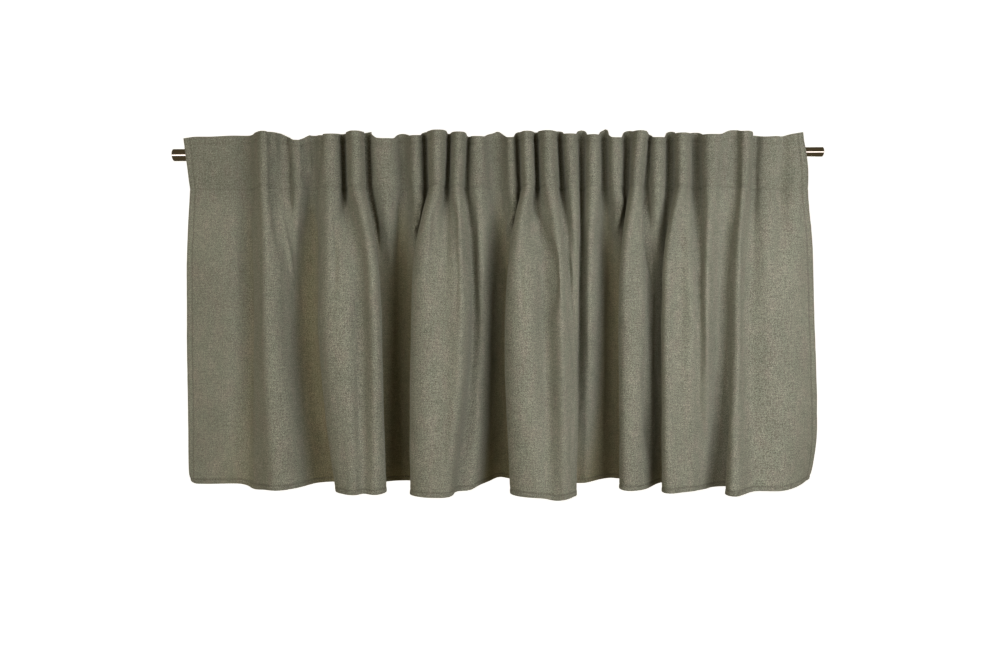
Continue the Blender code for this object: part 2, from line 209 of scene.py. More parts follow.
def rib_lines(at_top):
    """Named control points of the heading's section, at the top or at the seam."""
    names, points, rises = [], [], []
    last = len(RIBS) - 1
    for i, (rib, lt, rt, ls, rs, front, groove, rise, groove_rise) in enumerate(RIBS):
        left, right = (lt, rt) if at_top else (ls, rs)
        before = front if i == 0 else RIBS[i - 1][6]
        after = front if i == last else groove
        inset = min(0.12 * (right - left), 1.6)
        points.append((left + (inset if i else 0.0), front + ROUND * (before - front)))
        points.append(((left + right) / 2, front))
        points.append((right - (inset if i < last else 0.0), front + ROUND * (after - front)))
        names += [rib + "l", rib + "m", rib + "r"]
        rises += [rise] * 3
        if i < last:
            next_left = RIBS[i + 1][1] if at_top else RIBS[i + 1][3]
            floor = max(GROOVE_FLOOR, 0.22 * (next_left - right))
            points.append(((right + next_left) / 2 - floor, groove))
            points.append(((right + next_left) / 2 + floor, groove))
            names += [rib + "g", rib + "h"]
            rises += [groove_rise] * 2
    return names, points, rises


def smooth_curve(points, per_span=12):
    """Centripetal spline through the points: dense curve and each point's index."""
    given = np.array([(hung(x, y), y) for x, y in points], float)
    ends = np.vstack([2 * given[0] - given[1], given, 2 * given[-1] - given[-2]])
    dense, index = [], []
    for i in range(len(given) - 1):
        p0, p1, p2, p3 = ends[i:i + 4]
        t1 = math.sqrt(np.linalg.norm(p1 - p0))
        t2 = t1 + math.sqrt(np.linalg.norm(p2 - p1))
        t3 = t2 + math.sqrt(np.linalg.norm(p3 - p2))
        index.append(len(dense))
        for k in range(per_span):
            t = t1 + (t2 - t1) * k / per_span
            a1 = ((t1 - t) * p0 + t * p1) / t1
            a2 = ((t2 - t) * p1 + (t - t1) * p2) / (t2 - t1)
            a3 = ((t3 - t) * p2 + (t - t2) * p3) / (t3 - t2)
            b1 = ((t2 - t) * a1 + t * a2) / t2
            b2 = ((t3 - t) * a2 + (t - t1) * a3) / (t3 - t1)
            dense.append(((t2 - t) * b1 + (t - t1) * b2) / (t2 - t1))
    index.append(len(dense))
    dense.append(given[-1])
    return np.array(dense), index


def run_length(curve):
    steps = np.linalg.norm(np.diff(curve, axis=0), axis=1)
    return np.concatenate([[0.0], np.cumsum(steps)])


class Section:
    """A section curve that is looked up by a thread's place across the cloth."""

    def __init__(self, points, tie_rows, tie_places):
        self.curve, index = smooth_curve(points)
        self.length = run_length(self.curve)
        self.tie_length = self.length[[index[k] for k in tie_rows]]
        self.tie_place = tie_places

    def at(self, place):
        q = np.interp(place, self.tie_place, self.tie_length)
        return np.stack([np.interp(q, self.length, self.curve[:, k]) for k in (0, 1)], 1)


class Drape:
    """The hung cloth: place() takes a thread across the cloth and a level."""

    def __init__(self):
        self.names, top_points, rises = rib_lines(True)
        _, seam_points, _ = rib_lines(False)
        top, top_index = smooth_curve(top_points)
        seam, seam_index = smooth_curve(seam_points)
        self.threads = 0.5 * (run_length(top)[top_index] + run_length(seam)[seam_index])
        self.rises = np.array(rises)
        rows = list(range(len(self.names)))
        self.top = Section(top_points, rows, self.threads)
        self.seam = Section(seam_points, rows, self.threads)
        ties = [k for k, row in enumerate(FOLDS) if row[0]]
        places = np.array([self.threads[self.names.index(FOLDS[k][0])] for k in ties])
        self.mid = Section([(r[1], r[2] * FLARE_MID) for r in FOLDS], ties, places)
        self.hem = Section([(r[3], r[4] * FLARE_HEM) for r in FOLDS], ties, places)
        self.width = self.threads[-1]

    def place(self, thread, level):
        """x, y, z in millimetres of points along one level of the sheet."""
        down = min(max((TOP_EDGE - level) / (TOP_EDGE - SEAM), 0.0), 1.0)
        heading = self.top.at(thread) * (1 - down) + self.seam.at(thread) * down
        fall = min(max((MID_LEVEL - level) / (MID_LEVEL - HEM), 0.0), 1.0) ** 1.4
        body = self.mid.at(thread) * (1 - fall) + self.hem.at(thread) * fall
        ribbed = math.exp(-(max(SEAM - level, 0.0) / HEAD_FADE) ** 1.25)
        x, y = (body + (heading - body) * ribbed).T
        rise = np.interp(thread, self.threads, self.rises)
        rise = rise + CORNER_LIFT * np.clip(1 - (self.width - thread) / 55.0, 0, 1)
        rise = rise - CORNER_DROP * np.clip(1 - thread / 14.0, 0, 1)
        rise = rise * (1 - down) ** 2
        z = level + rise + HEM_SAG * y * fall * (y < 0) - SLANT * x
        # the lower right corner curls in and back
        low = min(max((HEM + 90.0 - level) / 90.0, 0.0), 1.0)
        near = np.clip(1 - (self.width - thread) / 70.0, 0, 1)
        curl = (low * near) ** 2
        return x - CORNER_CURL * curl, y + 0.6 * CORNER_CURL * curl, z + 0.35 * CORNER_CURL * curl


# ---- finish of the cloth (mm) --------------------------------------------
COLUMN = 5.10            # largest width of one column of faces
ROW = 5.9                # largest height of one row of faces
BODY_THICK = 1.0         # single cloth
HEADING_THICK = 1.7      # doubled cloth between the top edge and the lower stitch row
HEM_THICK = 2.1          # turned and stitched hems
FLOOR_LIMIT = -14.6   # how far back a groove of the heading may reach
PLATEAU = 0.17           # how far the top edge rises towards a rib's sides, share of their depth
UNDERCUT = 2.2       # most by which a rib overhangs the groove beside it
ROUNDING = 1.0       # steps over which the folds' edges are rounded
TOP_ROW = 10.0           # upper stitch row below the top edge
HEM_ROW = 7.0            # bottom hem's stitches above the edge
SIDE_HEM = 9.0           # width of the side hems
KNOT = 1.05              # pitch of the threads' uneven crossings
STITCH = 3.0             # length of a stitch
STITCH_PITCH = 4.4
THREAD_R = 0.30

# soft creases: three points down the cloth's face (steps across
# and rows down as seen from the front), half width (mm) and depth (mm, + for a
# ridge, - for a trough)
CREASE_COLUMNS = ("across_1", "row_1", "across_2", "row_2", "across_3", "row_3", "width", "depth")
CREASES = [
    (250.0, 190.0, 250.0, 320.0, 247.0, 480.0,  9.0, -5.0),
    (270.0, 132.0, 272.0, 160.0, 277.0, 262.0,  6.0, -6.0),
    (277.0, 134.0, 279.0, 170.0, 282.0, 205.0,  5.5,  3.0),
    (287.0, 134.0, 288.0, 165.0, 291.0, 222.0,  5.5, -7.5),
    (304.0, 136.0, 304.5, 158.0, 305.0, 184.0,  5.0, -6.5),
    (311.5, 136.0, 311.5, 155.0, 311.0, 178.0,  4.5,  6.0),
    (321.0, 134.0, 319.0, 165.0, 315.0, 200.0,  5.5, -6.5),
    (282.0, 196.0, 286.0, 226.0, 295.0, 284.0,  6.5,  5.0),
    (312.0, 188.0, 314.0, 222.0, 318.0, 262.0,  6.0, -3.5),
    (337.0, 212.0, 335.5, 250.0, 333.0, 305.0,  6.5, -4.8),
    (361.0, 226.0, 361.5, 330.0, 359.0, 450.0, 10.0, -2.5),
    (368.0, 132.0, 372.5, 205.0, 382.0, 262.0,  6.5, -8.0),
    (386.0, 180.0, 389.0, 225.0, 391.0, 275.0, 11.0,  5.0),
    (404.0, 184.0, 402.0, 230.0, 396.0, 300.0,  9.0, -7.0),
    (422.0, 190.0, 419.0, 212.0, 413.0, 240.0,  7.0,  8.0),
    (438.0, 202.0, 433.5, 240.0, 425.0, 290.0,  7.0, -5.0),
    (452.0, 198.0, 455.0, 250.0, 455.0, 330.0, 11.0, -3.2),
    (464.0, 186.0, 468.0, 240.0, 468.0, 330.0,  6.0,  4.0),
    (474.0, 184.0, 475.0, 250.0, 474.0, 330.0,  5.5, -2.8),
    (484.0, 262.0, 484.5, 330.0, 482.0, 440.0, 12.0, -4.5),
    (516.0, 192.0, 512.0, 214.0, 505.0, 240.0,  6.5,  6.0),
    (522.0, 262.0, 522.0, 290.0, 522.0, 325.0,  6.0, -2.5),
    (536.0, 190.0, 543.0, 232.0, 545.0, 330.0,  8.0, -7.5),
    (561.0, 186.0, 568.0, 245.0, 577.0, 330.0,  9.0, -5.0),
    (623.0, 190.0, 620.0, 212.0, 614.0, 240.0,  6.5,  6.0),
    (636.0, 212.0, 636.0, 255.0, 635.0, 335.0,  6.0, -4.2),
    (647.0, 190.0, 648.0, 230.0, 653.0, 278.0,  6.5, -10.0),
    (646.0, 350.0, 646.0, 405.0, 650.0, 465.0,  8.0, -6.0),
    (682.0, 205.0, 682.0, 260.0, 680.0, 360.0,  9.0, -2.2),
    (697.0, 180.0, 699.0, 240.0, 699.0, 330.0,  9.0, -4.0),
    (756.0, 134.0, 754.5, 215.0, 748.0, 330.0,  5.0, -3.5),
    (784.0, 134.0, 782.0, 205.0, 775.0, 292.0,  8.5, -9.5),
    (797.0, 150.0, 797.0, 215.0, 790.0, 330.0,  9.0,  2.5),
]

EYE_ROW = 333.5          # picture row level with the eye

# places where the top edge or the hem stands a little higher (+) or lower (-) than the drape
EDGE_COLUMNS = ("column", "edge", "rise", "half_width")
EDGES = [
    (280.5, "top",  4.2,  5.0),
    (371.0, "top",  5.0,  4.5),
    (499.0, "top",  3.5,  3.5),
    (608.0, "top",  4.0,  3.5),
    (736.0, "top", -1.8, 14.0),
    (254.5, "hem", -6.5,  9.0),
    (476.0, "hem",  3.5,  6.0),
    (498.0, "hem",  4.2,  8.0),
    (602.0, "hem",  3.4, 17.0),
    (554.0, "hem", -3.5, 11.0),
]


def levels_down():
    """Levels of the rows of faces: closer at the edges and at the stitch rows."""
    fine = [(TOP_EDGE, TOP_EDGE - 6, 2.0), (TOP_EDGE - 6, TOP_EDGE - 16, 2.5),
            (TOP_EDGE - 16, SEAM + 9, ROW), (SEAM + 9, SEAM - 9, 2.6), (SEAM - 9, SEAM - 120, 5.0),
            (SEAM - 120, HEM + 16, ROW), (HEM + 16, HEM, 2.6)]
    levels = [TOP_EDGE]
    for high, low, pitch in fine:
        parts = max(1, math.ceil((high - low) / pitch))
        levels += [high - (high - low) * k / parts for k in range(1, parts + 1)]
    return np.array(levels)


def threads_across(drape):
    """Places of the columns of faces, one at every line of the heading and between them."""
    threads = [0.0]
    for a, b in zip(drape.threads[:-1], drape.threads[1:]):
        parts = max(1, math.ceil((b - a) / COLUMN))
        threads += [a + (b - a) * k / parts for k in range(1, parts + 1)]
    return np.array(threads)


def ripple(u, v, seed, longest, layers=4):
    """Smooth irregular unevenness, about -1 to 1, fixed by its seed."""
    rng = np.random.default_rng(seed)
    total, weight = 0.0, 0.0
    for k in range(layers):
        wave = longest / 1.7 ** k
        for _ in range(3):
            turn = rng.uniform(0, 2 * math.pi)
            ahead = rng.uniform(0, 2 * math.pi)
            total = total + np.sin(2 * math.pi * (u * math.cos(turn) + v * math.sin(turn)) / wave + ahead) / 1.5 ** k
            weight += 0.62 / 1.5 ** k
    return total / weight


def soften(values, spread, axis):
    """Gaussian average along one axis of a grid (spread in grid steps), its ends held."""
    reach = int(3 * spread) + 1
    weights = np.exp(-0.5 * (np.arange(-reach, reach + 1) / spread) ** 2)
    weights = weights / weights.sum()
    line = np.moveaxis(values, axis, 0)
    before = 2 * line[:1] - line[1:reach + 1][::-1]
    after = 2 * line[-1:] - line[-reach - 1:-1][::-1]
    padded = np.concatenate([before, line, after])
    mean = sum(w * padded[k:k + len(line)] for k, w in enumerate(weights))
    return np.moveaxis(mean, 0, axis)


class Sheet:
    """The valance's cloth on a grid: rows are levels, columns are threads."""

    def __init__(self, drape):
        self.drape = drape
        self.u = threads_across(drape)
        self.v = levels_down()
        place = np.stack([np.stack(drape.place(self.u, level), 1) for level in self.v])
        self.mid = soften(place, ROUNDING, 1)
        self.grid_u, self.grid_v = np.meshgrid(self.u, self.v)
        # the ribs' tops are nearly level from edge to edge
        level = [0.0 if name in ("00l", "22r") or name[2] in "mgh" else 1.0 for name in drape.names]
        depth = drape.top.at(drape.threads)[:, 1]
        middle = np.interp(drape.threads, [t for t, n in zip(drape.threads, drape.names) if n[2] == "m"],
                           [d for d, n in zip(depth, drape.names) if n[2] == "m"])
        lift = np.clip(np.array(level) * (depth - middle) * PLATEAU, 0, 4.0)
        top = np.clip(1 - (TOP_EDGE - self.grid_v) / 26.0, 0, 1) ** 2
        self.mid[..., 2] += top * soften(np.interp(self.u, drape.threads, lift)[None], 0.8, 1)
        self.widen()
        self.undercut()
        self.turn_up()
        self.trim()
        # the weave's place across follows the true length over each fold
        steps = np.linalg.norm(np.diff(self.mid, axis=1), axis=2)
        run = np.concatenate([np.zeros((len(self.v), 1)), np.cumsum(steps, axis=1)], 1)
        extra = run - self.grid_u
        extra = soften(extra - soften(extra, 12.0, 1), 4.0, 0)
        self.run = self.grid_u + extra - drape.width / 2
        before = self.mid[..., 1].copy()
        self.mid = self.mid + self.facing() * self.relief()[..., None]
        # behind the heading no trough or seam reaches the straps and the rod
        limit = np.maximum(before, FLOOR_LIMIT)
        held = np.clip((self.grid_v - SEAM + 34.0) / 20.0, 0, 1)
        back = np.maximum(self.mid[..., 1] - limit, 0)
        self.mid[..., 1] -= back * held
        self.normal = self.facing()
        self.thick = self.thickness()

    def facing(self):
        """Unit normals towards the room."""
        across = np.gradient(self.mid, axis=1)
        down = np.gradient(self.mid, axis=0)
        n = np.cross(down, across)
        return n / np.linalg.norm(n, axis=2, keepdims=True)

    def undercut(self):
        """The heading's ribs are fuller in front than at their necks."""
        where, room = [], []
        for i in range(len(RIBS) - 1):
            for name, wide in ((RIBS[i][0] + "g", RIBS[i + 1][1] - RIBS[i][2]),
                               (RIBS[i][0] + "h", RIBS[i + 1][3] - RIBS[i][4])):
                where.append(self.drape.threads[self.drape.names.index(name)])
                room.append(min(wide * STEP * 0.16, UNDERCUT))
        full = np.interp(self.grid_u, where, room)
        front = np.clip((-self.mid[..., 1] - 20.0) / 18.0, 0, 1)
        heading = np.clip((self.grid_v - SEAM + 55.0) / 55.0, 0, 1)
        self.mid[..., 0] += self.facing()[..., 0] * full * front * front * (3 - 2 * front) * heading

    def widen(self):
        """The last two ribs but one merge into a broad soft one, with a shallow dip between them."""
        at = [self.drape.threads[self.drape.names.index(name)] for name in ("20m", "20r", "20g", "20h", "21l", "21m")]
        move = np.interp(self.grid_u, at, [0.0, 0.25, 1.0, 1.0, 0.25, 0.0], left=0.0, right=0.0)
        heading = np.clip((self.grid_v - SEAM + 90.0) / 90.0, 0, 1)
        body = np.clip((self.grid_v - HEM) / 100.0, 0, 1)
        full = 18.0 * heading * heading * (3 - 2 * heading) + 15.0 * (1 - heading) * body
        self.mid[..., 1] -= soften(full * move, 1.5, 1)

    def turn_up(self):
        """Small sideways play of the folds' lines, which never hang quite straight."""
        body = np.clip((SEAM - self.grid_v) / 120.0, 0, 1)
        self.mid[..., 0] += 1.3 * body * ripple(self.grid_u, self.grid_v * 0.6, 11, 210.0)
        self.mid[..., 1] += 1.8 * body * ripple(self.grid_u, self.grid_v * 0.5, 12, 160.0)
        # the right edge stands out beside the heading, and the lower left corner is round
        right = np.clip(1 - (self.drape.width - self.grid_u) / 36.0, 0, 1)
        self.mid[..., 0] += 4.5 * right * np.exp(-((self.grid_v + 28.0) / 34.0) ** 2)
        corner = np.clip(1 - self.grid_u / 16.0, 0, 1) ** 2 * np.clip(1 - (self.grid_v - HEM) / 22.0, 0, 1) ** 2
        self.mid[..., 2] += 4.0 * corner
        self.mid[..., 0] += 3.0 * corner

    def trim(self):
        """Small rises and dips of the top edge and the hem."""
        columns = self.seen()[0]
        near = {"top": np.clip(1 - (TOP_EDGE - self.grid_v) / 30.0, 0, 1) ** 2,
                "hem": np.clip(1 - (self.grid_v - HEM) / 60.0, 0, 1) ** 2}
        for column, edge, rise, half_width in EDGES:
            self.mid[..., 2] += rise * near[edge] * np.exp(-((columns - column) / half_width) ** 2)

    def seen(self):
        """Picture steps across and rows down of the grid's points, and their depth."""
        x, y, z = np.moveaxis(self.mid, 2, 0)
        far = VIEW / (VIEW + y)
        return MIDDLE + x / STEP * far, EYE_ROW - (z - EYE) / STEP * far, y

    def thread_seen(self, across, row, columns, rows, depth):
        """Thread of the cloth's front face that shows at a place of the picture."""
        level = int(np.argmin(np.abs(np.median(rows, axis=1) - row)))
        near = np.abs(columns[level] - across)
        close = near < max(1.6, near.min() + 0.3)
        pick = np.where(close, depth[level], 1e9)
        return self.u[int(np.argmin(pick))], self.v[level]

    def relief(self):
        """Height of creases, puckers and unevenness over the drape (mm)."""
        u, v = self.grid_u, self.grid_v
        high = np.zeros_like(u)
        columns, rows, depth = self.seen()
        for a1, r1, a2, r2, a3, r3, width, deep in CREASES:
            u1, v1 = self.thread_seen(a1, r1, columns, rows, depth)
            u2, v2 = self.thread_seen(a2, r2, columns, rows, depth)
            u3, v3 = self.thread_seen(a3, r3, columns, rows, depth)
            line = np.polyfit([v1, v2, v3], [u1, u2, u3], 2)
            reach = (v1 - v) / (v1 - v3)
            begun = 1.0 if r1 < 140 else np.clip(reach / 0.22, 0, 1)
            ends = begun * np.clip((1 - reach) / 0.30, 0, 1)
            ends = ends * ends * (3 - 2 * ends)
            high += deep * ends * np.exp(-((u - np.polyval(line, v)) / width) ** 2)
        # stitched lines draw the cloth in and pucker it beside them
        for level, deep, reach in ((TOP_EDGE - TOP_ROW, 0.8, 7.0), (SEAM, 1.2, 9.0), (HEM + HEM_ROW, 0.8, 7.0)):
            off = v - level
            high -= deep * np.exp(-(off / 1.9) ** 2)
            high += 0.42 * deep * ripple(u, v * 0.2, int(1000 + level), 23.0, 2) * np.exp(-(off / reach) ** 2)
        for edge in (SIDE_HEM, self.drape.width - SIDE_HEM):
            off = u - edge
            high -= 0.4 * np.exp(-(off / 2.4) ** 2)
            high += 0.25 * ripple(v, u * 0.2, int(edge), 25.0, 2) * np.exp(-(off / 8.0) ** 2)
        # fine gathers fan out from the lower stitch row
        below = np.where(v < SEAM, np.exp(-((SEAM - v) / 95.0) ** 2), np.exp(-((SEAM - v) / 14.0) ** 2))
        high += 0.75 * below * ripple(u, v * 0.07, 31, 30.0, 3)
        body = np.clip((SEAM + 20 - v) / 70.0, 0.25, 1)
        high += 0.75 * body * ripple(u, v * 0.45, 21, 120.0)
        high += 0.30 * ripple(u, v * 0.8, 22, 38.0, 3)
        return high

    def thickness(self):
        u, v = self.grid_u, self.grid_v
        thick = np.full_like(u, BODY_THICK)
        heading = 1 / (1 + np.exp(-(v - SEAM + 1.0) / 0.8))
        thick += (HEADING_THICK - BODY_THICK) * heading
        hem = 1 / (1 + np.exp((v - (HEM + HEM_ROW + 1.5)) / 0.8))
        edge = np.minimum(u, self.drape.width - u)
        side = 1 / (1 + np.exp((edge - SIDE_HEM - 1.0) / 0.9))
        return np.maximum(thick, BODY_THICK + (HEM_THICK - BODY_THICK) * np.maximum(hem, side))

    def at(self, u, v, side=1.0, lift=0.0):
        """Points, and normals, on the front (side 1) or back (side -1) of the cloth."""
        cu = np.interp(u, self.u, np.arange(len(self.u)))
        rv = np.interp(-np.asarray(v, float), -self.v, np.arange(len(self.v)))
        c0 = np.clip(cu.astype(int), 0, len(self.u) - 2)
        r0 = np.clip(rv.astype(int), 0, len(self.v) - 2)
        fc, fr = (cu - c0)[:, None], (rv - r0)[:, None]

        def mix(grid):
            top = grid[r0, c0] * (1 - fc) + grid[r0, c0 + 1] * fc
            low = grid[r0 + 1, c0] * (1 - fc) + grid[r0 + 1, c0 + 1] * fc
            return top * (1 - fr) + low * fr

        n = mix(self.normal)
        n = n / np.linalg.norm(n, axis=1, keepdims=True)
        t = mix(self.thick[..., None])
        return mix(self.mid) + n * side * (t / 2 + lift), n * side


def mesh_object(name, points, faces, mat, uvs=None, smooth_angle=60.0):
    """Object from points in millimetres and faces; uvs maps a layer's name to its corners."""
    mesh = bpy.data.meshes.new(name)
    mesh.from_pydata([tuple(p) for p in np.asarray(points) * MM], [], faces)
    for layer, corners in (uvs or {}).items():
        mesh.uv_layers.new(name=layer).data.foreach_set("uv", np.asarray(corners, np.float32).ravel())
    mesh.materials.append(mat)
    mesh.shade_smooth()
    mesh.set_sharp_from_angle(angle=math.radians(smooth_angle))
    mesh.validate()
    obj = bpy.data.objects.new(name, mesh)
    bpy.context.scene.collection.objects.link(obj)
    return obj


def build_cloth(sheet, mat):
    """Closed thin sheet: front, back and the four narrow edges."""
    nr, nc = sheet.mid.shape[:2]
    half = sheet.normal * sheet.thick[..., None] / 2
    front = (sheet.mid + half).reshape(-1, 3)
    back = (sheet.mid - half).reshape(-1, 3)
    index = np.arange(nr * nc).reshape(nr, nc)
    a, b, c, d = index[:-1, :-1].ravel(), index[1:, :-1].ravel(), index[1:, 1:].ravel(), index[:-1, 1:].ravel()
    f = np.stack([a, b, c, d], 1)
    g = np.stack([a, d, c, b], 1) + nr * nc
    rim = []
    ring = list(index[0, :]) + list(index[1:, -1]) + list(index[-1, -2::-1]) + list(index[-2:0:-1, 0])
    for p, q in zip(ring, ring[1:] + ring[:1]):
        rim.append((p, q, q + nr * nc, p + nr * nc))
    faces = [tuple(x) for x in f] + [tuple(x) for x in g] + rim
    # weave layer: metres along the threads
    threads = np.stack([sheet.run.ravel(), sheet.grid_v.ravel()], 1) * MM
    order = np.array([k for face in faces for k in face])
    weave = np.vstack([threads, threads])[order]
    # cut layer: metres on the flat panel, from its left edge and the rod's level
    flat = np.stack([sheet.grid_u.ravel(), sheet.grid_v.ravel()], 1) * MM
    flat = np.vstack([flat, flat])[order]
    # bake layer: the front above the back, rims in thin strips
    wide, tall = sheet.drape.width * MM, (TOP_EDGE - HEM) * MM
    unit = np.stack([sheet.grid_u.ravel() * MM / wide * 0.98 + 0.01,
                     (sheet.grid_v.ravel() - HEM) * MM / tall * 0.47 + 0.51], 1)
    under = unit - np.array([0.0, 0.50])
    both = np.vstack([unit, under])[order]
    start = 4 * (len(f) + len(g))
    for k in range(len(rim)):
        x = 0.01 + 0.98 * k / len(rim)
        w = 0.98 / len(rim) * 0.9
        both[start + 4 * k:start + 4 * k + 4] = [(x, 0.986), (x + w, 0.986), (x + w, 0.994), (x, 0.994)]
    cloth = mesh_object("valance_linen", np.vstack([front, back]), faces, mat,
                        {"weave": weave, "cut": flat, "OFBake": both}, 70.0)
    # the grain's light and dark specks are stronger on the folds that stand forward
    forward_share = np.clip((-sheet.mid[..., 1].ravel() - 12.0) / 34.0, 0, 1)
    layer = cloth.data.attributes.new("forward_grain", "FLOAT", "POINT")
    layer.data.foreach_set("value", np.concatenate([forward_share, forward_share]))
    # painted shade: the "deep" layer is 1 where the cloth lies far back in the folds, away from the side edges, and
    # warms the colour there
    inside = np.clip(np.minimum(sheet.grid_u, sheet.drape.width - sheet.grid_u) / 110.0, 0, 1) ** 2
    deep = (np.clip((sheet.mid[..., 1] + 14.0) / 20.0, 0, 1) * inside).ravel()
    layer = cloth.data.attributes.new("deep", "FLOAT", "POINT")
    layer.data.foreach_set("value", np.concatenate([deep, deep]))
    return cloth


def stitch_row(points, faces, p, n):
    """Adds one row of short raised stitches along a line of points with its normals."""
    run = np.concatenate([[0.0], np.cumsum(np.linalg.norm(np.diff(p, axis=0), axis=1))])
    count = int(run[-1] / STITCH_PITCH)
    for k in range(count):
        s = (k + 0.5) * run[-1] / count
        ends = [s - STITCH / 2, s, s + STITCH / 2]
        q = np.stack([np.interp(ends, run, p[:, i]) for i in range(3)], 1)
        m = np.array([np.interp(s, run, n[:, i]) for i in range(3)])
        m = m / np.linalg.norm(m)
        along = q[2] - q[0]
        along = along / np.linalg.norm(along)
        beside = np.cross(m, along)
        base = len(points)
        for j, (size, rise) in enumerate(((0.55, -0.12), (1.0, 0.16), (0.55, -0.12))):
            for i in range(5):
                turn = 2 * math.pi * i / 5
                points.append(q[j] + m * rise + THREAD_R * size * (beside * math.cos(turn) + m * math.sin(turn)))
        for j in (0, 1):
            for i in range(5):
                o = (i + 1) % 5
                faces.append((base + 5 * j + i, base + 5 * j + o, base + 5 * j + 5 + o, base + 5 * j + 5 + i))
        faces.append(tuple(base + i for i in range(4, -1, -1)))
        faces.append(tuple(base + 10 + i for i in range(5)))


def build_stitches(sheet, mat):
    """Rows of machine stitches along the heading and the hems, on both sides."""
    points, faces = [], []
    many = np.linspace(3.0, sheet.drape.width - 3.0, 3000)
    down = np.linspace(TOP_EDGE - 4.0, HEM + 4.0, 900)
    for side in (1.0, -1.0):
        for level in (TOP_EDGE - TOP_ROW, SEAM, HEM + HEM_ROW):
            stitch_row(points, faces, *sheet.at(many, np.full_like(many, level), side))
        for edge in (SIDE_HEM, sheet.drape.width - SIDE_HEM):
            stitch_row(points, faces, *sheet.at(np.full_like(down, edge), down, side))
    return mesh_object("hem_stitches", points, faces, mat, None, 40.0)


def strap_path(drape, groove, across):
    """Where a strap lies: its place across at the top and the foot, and its path (y, z)."""
    if groove:
        at = drape.names.index(groove)
        thread = drape.threads[at:at + 2].mean()
    else:
        many = np.linspace(0.0, drape.width, 4000)
        x = drape.place(many, 0.0)[0]
        thread = many[int(np.argmin(np.abs(x - hung(across, -14.0))))]
    beside = np.clip(thread + np.linspace(-0.5, 0.5, 9) * LOOP_WIDTH, 0.0, drape.width)
    back = max(drape.place(beside, level)[1].max() for level in (12.0, -20.0, LOOP_FOOT))
    x_top = drape.place(np.array([thread]), TOP_EDGE)[0][0]
    x_foot = drape.place(np.array([thread]), LOOP_FOOT)[0][0]
    tube = ROD_OUTER_R if x_top < ROD_JOINT else ROD_INNER_R
    front = back + CLOTH / 2 + LOOP_GAP + LOOP_THICK / 2
    reach = tube + LOOP_GAP + LOOP_THICK / 2

    def touch(y, z, side):
        return math.atan2(z, y) + side * math.acos(reach / math.hypot(y, z))

    bend = (front + 1.6, LOOP_TOP - 1.4)
    start, end = touch(*bend, -1), touch(front, LOOP_FOOT + LOOP_SEWN, 1)
    path = [(front, LOOP_TOP - LOOP_SEWN), (front, LOOP_TOP - 3.2), (front + 0.4, LOOP_TOP - 2.0), bend]
    path += [(reach * math.cos(a), reach * math.sin(a)) for a in np.linspace(start, end, 33)]
    path += [(front, LOOP_FOOT + LOOP_SEWN), (front, LOOP_FOOT)]
    path = np.array(path)
    run = run_length(path)
    many = np.arange(0.0, run[-1], 0.9)
    smooth = np.stack([np.interp(many, run, path[:, k]) for k in (0, 1)], 1)
    return x_top, x_foot, np.vstack([soften(smooth, 0.9, 0), path[-1:]])


def build_strap(drape, number, groove, across, mat, tacks):
    """One strap: folded strip with rounded, stitched edges, tacked down at both ends."""
    x_top, x_foot, path = strap_path(drape, groove, across)
    ahead = np.gradient(path, axis=0)
    ahead = ahead / np.linalg.norm(ahead, axis=1, keepdims=True)
    out = np.stack([ahead[:, 1], -ahead[:, 0]], 1)
    run = run_length(path)
    w, t = LOOP_WIDTH / 2, LOOP_THICK / 2
    shape = [(-w, 0.0), (-w + 0.12, 0.6), (-w + 0.5, 1.0), (-w + 1.5, 0.72), (-w + 2.4, 0.94),
             (0.0, 0.98), (w - 2.4, 0.94), (w - 1.5, 0.72), (w - 0.5, 1.0), (w - 0.12, 0.6)]
    shape = shape + [(-a, -b) for a, b in shape]
    points, faces, weave = [], [], []
    sides = len(shape)
    for k, (y, z) in enumerate(path):
        x = x_top + (x_foot - x_top) * (TOP_EDGE - z) / (TOP_EDGE - LOOP_FOOT)
        x += 0.25 * math.sin(0.21 * run[k] + number)
        for a, b in shape:
            points.append((x + a, y + out[k, 0] * b * t, z + out[k, 1] * b * t))
    for k in range(len(path) - 1):
        for i in range(sides):
            o = (i + 1) % sides
            faces.append((k * sides + i, k * sides + o, (k + 1) * sides + o, (k + 1) * sides + i))
    faces.append(tuple(range(sides))[::-1])
    faces.append(tuple((len(path) - 1) * sides + i for i in range(sides)))
    for face in faces:
        for p in face:
            weave.append(((shape[p % sides][0] + 40.0 * number) * MM, run[p // sides] * MM))
    strap = mesh_object("strap_loop_%02d" % number, points, faces, mat, {"weave": weave}, 60.0)
    # edge stitching along the strap, and the tacks across its ends
    face_out = -1.0 if (out[len(path) // 2] @ path[len(path) // 2]) < 0 else 1.0
    for a in (-w + 1.5, w - 1.5):
        line = np.array([(x_top + (x_foot - x_top) * (TOP_EDGE - z) / (TOP_EDGE - LOOP_FOOT) + a,
                          y + out[k, 0] * 0.7 * t * face_out, z + out[k, 1] * 0.7 * t * face_out)
                         for k, (y, z) in enumerate(path)])
        stitch_row(*tacks, line, np.column_stack([np.zeros(len(path)), out * face_out]))
    for k in (3, 7, len(path) - 8, len(path) - 4):
        y, z = path[k]
        x = x_top + (x_foot - x_top) * (TOP_EDGE - z) / (TOP_EDGE - LOOP_FOOT)
        line = np.array([(x + a, y + out[k, 0] * t * face_out, z + out[k, 1] * t * face_out)
                         for a in np.linspace(-w + 1.0, w - 1.0, 8)])
        stitch_row(*tacks, line, np.tile(np.array([0.0, *(out[k] * face_out)]), (8, 1)))
    return strap


